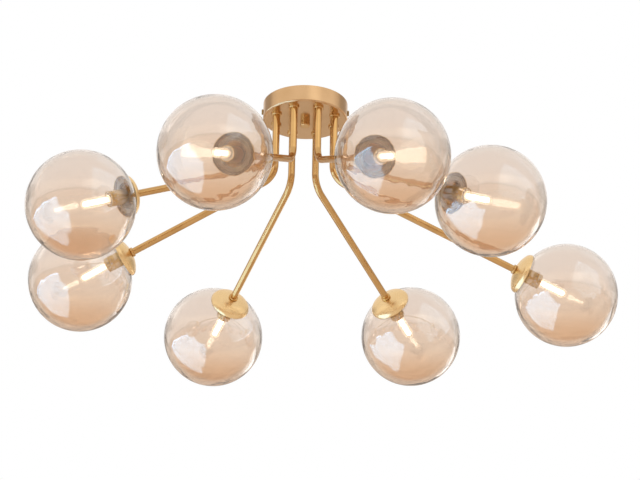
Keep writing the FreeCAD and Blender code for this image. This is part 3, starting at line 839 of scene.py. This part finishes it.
def bulb_base_mesh():
    """The bulb's base with its two pins."""
    low = SLEEVE_FACE - SLEEVE_EDGE
    high = SLEEVE_FACE + BULB_RECESS - SLIP / 2
    edge = CERAMIC_EDGE
    base = [(0.0, low), (BULB_BASE_RADIUS - edge, low), (BULB_BASE_RADIUS, low + edge),
            (BULB_BASE_RADIUS, high - edge), (BULB_BASE_RADIUS - edge, high), (0.0, high)]
    top = high + PIN_LENGTH - SLIP / 2
    pin = [(0.0, high - edge)] + ladder(PIN_RADIUS, high - edge, top - PIN_RADIUS, steps=2)
    pin += bend((0.0, top - PIN_RADIUS), PIN_RADIUS, 0, 90, steps=4)[1:-1] + [(0.0, top)]
    parts = [(rounded(turned_mesh("base", [base], AROUND_SMALL)), CERAMIC)]
    for side in (-1, 1):
        mesh = turned_mesh("pin", [pin], AROUND_PIN)
        mesh.transform(Matrix.Translation((side * PIN_SPACING / 2, 0, 0)))
        parts.append((rounded(mesh), PIN_STEEL))
    return joined("bulb_base", parts)


def tube_mesh(bent_tube, arm):
    """The bent tube of one arm, with its wall."""
    top = Vector((arm.stem.x, arm.stem.y, STEM_TOP))
    corner = Vector((arm.stem.x, arm.stem.y, BEND_LEVEL))
    skin = bent_tube.mesh("tube", Stem_Top=top, Bend=corner, Tube_End=arm.along(TUBE_END),
                          Tube_Radius=TUBE_RADIUS, Bend_Radius=TUBE_BEND_RADIUS,
                          Bend_Steps=TUBE_BEND_STEPS, Around=AROUND_TUBE, Finish=TUBE_GOLD)
    return rounded(walled(skin, TUBE_WALL, "tube"), angle=50)


bent_tube = bent_tube_tree()
globe = globe_mesh()
cap = cap_mesh()
collar = end_collar_mesh()
capsule = capsule_mesh()
bulb_base = bulb_base_mesh()
lampholder = joined("lampholder", [(sleeve_mesh(), SLEEVE_GOLD), (sleeve_rim_mesh(), SLEEVE_GOLD),
                                   (ceramic_core_mesh(), CERAMIC)])

for arm in arms:
    k = arm.number
    piece("bent_tube_%d" % k, tube_mesh(bent_tube, arm), "arm_%d" % k, TUBE_GOLD,
          replaced=["arm_tube_%d" % k])
    piece("end_collar_%d" % k, collar, "arm_%d" % k, TUBE_GOLD, arm.matrix)
    piece("spun_cap_%d" % k, cap, "arm_%d" % k, None, arm.matrix, ["cap_%d" % k])
    piece("vented_holder_%d" % k, lampholder, "arm_%d" % k, None, arm.matrix,
          ["lampholder_%d" % k])
    piece("capsule_%d" % k, capsule, "bulb_%d" % k, None, arm.matrix, ["bulb_%d" % k])
    piece("bulb_base_%d" % k, bulb_base, "bulb_%d" % k, None, arm.matrix)
    piece("glass_globe_%d" % k, globe, "globe_%d" % k, GLASS, arm.matrix,
          ["globe_%d" % k])


# CAD nodes that are shown as they are, and the finish that each takes

finishes = {"canopy": CANOPY_GOLD, "stem_collars": NODE_GOLD, "cap_nut": NODE_GOLD,
            "side_screws": SCREW_BRONZE, "stem_washers": ZINC, "hex_nuts": ZINC,
            "centre_nipple": ZINC, "ceiling_bracket": ZINC, "terminal_block": NYLON,
            "terminal_screws": BRASS, "earth_stud": BRASS, "leads": LEADS}
finishes.update({"gasket_%d" % k: SILICONE for k in ARMS})
for node, finish in finishes.items():
    mesh = frame["nodes"][node].data
    mesh.materials.clear()
    mesh.materials.append(finish)


# Surroundings: white to the camera, half a painted room to all other rays, and a half clear floor far below

WHITE = (1.0, 1.0, 1.0)
DARK_SEAM = (0.16, 0.08, 0.04)
FLOOR_LEVEL = -7.5
FLOOR_RADIUS = 90.0
FLOOR_CLOUDS = 0.35
FLOOR_CLEAR_SHARE = 0.5
ROOM_SHARE = 0.5
HORIZON = (0.150, 0.165)
HORIZON_LEAN = 0.07
OBJECT_MIDDLE = Vector((0.02, 0.0, -0.2))

# How many clear surfaces a ray may pass, one behind another
CLEAR_LAYERS = 32

# What stands in the painted room, each over what comes before it: its colour, its share, and for each
# direction the two values between which it fades in and the two between which it fades out, or None
ROOM_PATCHES = {
    "skirting": (DARK_SEAM, 1.0, {"height": ((0.105, 0.125), (0.155, 0.165))}),
    "dado": ((0.30, 0.18, 0.09), 0.85, {"y": ((0.58, 0.66), None),
                                        "z": ((-0.15, -0.10), (0.30, 0.36))}),
    "dark screens": ((0.12, 0.08, 0.05), 1.0, {"aside": ((0.42, 0.56), None),
                                               "y": ((0.12, 0.34), None),
                                               "z": ((0.28, 0.34), (0.50, 0.56))}),
    "window": ((1.28, 1.20, 1.10), 1.0, {"y": (None, (-0.20, 0.15)),
                                         "z": ((0.26, 0.34), (0.50, 0.58))}),
    "left box": ((2.9, 4.9, 7.6), 1.0, {"x": (None, (-0.34, -0.28)),
                                        "y": ((-0.72, -0.66), (0.46, 0.54)),
                                        "z": ((-0.98, -0.95), (-0.06, -0.02))}),
    "right box": ((3.0, 3.1, 3.2), 1.0, {"x": ((0.30, 0.36), (0.78, 0.84)),
                                         "y": ((0.58, 0.64), None),
                                         "z": ((-0.24, -0.18), (0.06, 0.10))}),
    "front box": ((1.9, 1.85, 1.75), 1.0, {"x": ((0.02, 0.30), (0.42, 0.70)),
                                           "y": (None, (-0.50, -0.30)),
                                           "z": ((0.26, 0.38), (0.48, 0.62))}),
}


def studio_world():
    """White to the camera. All other rays see a soft plain colour, white through glass, mixed with a
    pale room that has a tan floor and soft boxes at its sides."""
    world = bpy.data.worlds.new("studio")
    bpy.context.scene.world = world
    n = Nodes(world, "OutputWorld")
    x, y, z = n.split(n.add("TexCoord", out="Generated"))
    height = z + y * HORIZON_LEAN
    towards = {"x": x, "y": y, "z": z, "height": height, "aside": abs(x)}
    ground = n.mix(n.ramp(z, -0.55, 0.05), (0.92, 0.70, 0.56), (0.76, 0.53, 0.38))
    ground = n.mix(n.ramp(y, -0.20, 0.35), ground, (0.62, 0.34, 0.18))
    sweep = n.mix(n.ramp(z, -0.62, -0.46), (0.92, 0.86, 0.82), (0.54, 0.43, 0.34))
    ground = n.mix(n.ramp(y, 0.79, 0.80), ground, sweep)
    ground = n.mix(n.ramp(y, 0.755, 0.77) * n.fall(y, 0.80, 0.81), ground, DARK_SEAM)
    ceiling = n.mix(n.ramp(x, 0.1, 0.9), (0.96, 0.90, 0.86), (0.80, 0.72, 0.66))
    room = n.mix(n.fall(height, *HORIZON), ceiling, ground)
    for colour, share, directions in ROOM_PATCHES.values():
        for direction, (rise, fall) in directions.items():
            if rise:
                share = share * n.ramp(towards[direction], *rise)
            if fall:
                share = share * n.fall(towards[direction], *fall)
        room = n.mix(share, room, colour)
    soft = n.mix(n.light_path("Is Transmission Ray"), (0.87, 0.79, 0.72), WHITE)
    seen = n.mix(n.light_path("Is Camera Ray"), n.mix(ROOM_SHARE, soft, room), WHITE)
    n.finish(n.add("Background", Color=seen, Strength=1.0))


def floor():
    """The pale floor, half clear all over, so that what lies beyond it shows through."""
    bpy.ops.mesh.primitive_circle_add(vertices=96, radius=FLOOR_RADIUS, fill_type="NGON",
                                      location=(0, 0, FLOOR_LEVEL))
    made = bpy.context.object
    made.name = "floor"
    finish, n = finish_nodes("pale_floor")
    cloud = n.noise(n.place(), FLOOR_CLOUDS, 3.0)
    colour = n.mix(cloud * 0.25, (0.82, 0.79, 0.75), (0.76, 0.73, 0.69))
    plain = n.add("BsdfPrincipled", Base_Color=colour, Roughness=0.8)
    shown = n.add("MixShader", Fac=FLOOR_CLEAR_SHARE, Shader=plain)
    n.link(n.add("BsdfTransparent", Color=WHITE), shown.socket.node.inputs[2])
    n.finish(shown)
    made.data.materials.append(finish)


def panel(name, towards, distance, width, height, power, colour):
    """A soft panel light that faces the middle of the object, and isn't seen or mirrored itself."""
    direction = Vector(towards).normalized()
    lamp = bpy.data.lights.new(name, "AREA")
    lamp.shape = "RECTANGLE"
    lamp.size = width
    lamp.size_y = height
    lamp.energy = power
    lamp.color = colour
    made = bpy.data.objects.new(name, lamp)
    made.location = OBJECT_MIDDLE + direction * distance
    made.rotation_mode = "QUATERNION"
    made.rotation_quaternion = (-direction).to_track_quat("-Z", "Y")
    bpy.context.scene.collection.objects.link(made)
    made.visible_camera = False
    made.visible_glossy = False
    made.visible_transmission = False


studio_world()
floor()
panel("left_panel", (-0.81, -0.12, 0.50), distance=1.9, width=1.7, height=1.2, power=12.0,
      colour=(0.95, 0.98, 1.0))
panel("right_panel", (0.86, 0.50, 0.25), distance=1.9, width=0.7, height=1.7, power=10.0,
      colour=(1.0, 1.0, 1.0))
panel("front_strip", (0.55, -0.83, 0.25), distance=2.6, width=0.35, height=1.6, power=8.0,
      colour=(1.0, 0.98, 0.95))


def photo_camera():
    """The photograph's view: from below, looking up along +Y."""
    focus_pixels = 2327.66
    picture_width = 640
    distance = 3.28495
    rise = math.radians(24.72)
    roll = math.radians(-0.93)
    target = Vector((0.02417, 0.0, -0.21485))
    ahead = Vector((0, math.cos(rise), math.sin(rise)))
    right = Vector((1, 0, 0))
    down = ahead.cross(right)
    turned_right = right * math.cos(roll) + down * math.sin(roll)
    turned_down = down * math.cos(roll) - right * math.sin(roll)
    camera = bpy.data.cameras.new("camera")
    camera.sensor_width = 36.0
    camera.lens = focus_pixels / picture_width * camera.sensor_width
    camera.clip_end = 300.0
    made = bpy.data.objects.new("camera", camera)
    bpy.context.scene.collection.objects.link(made)
    axes = Matrix((turned_right, -turned_down, -ahead)).transposed()
    made.matrix_world = Matrix.Translation(target - ahead * distance) @ axes.to_4x4()
    bpy.context.scene.camera = made


photo_camera()
bpy.context.scene.view_settings.view_transform = "Standard"
bpy.context.scene.cycles.transparent_max_bounces = CLEAR_LAYERS
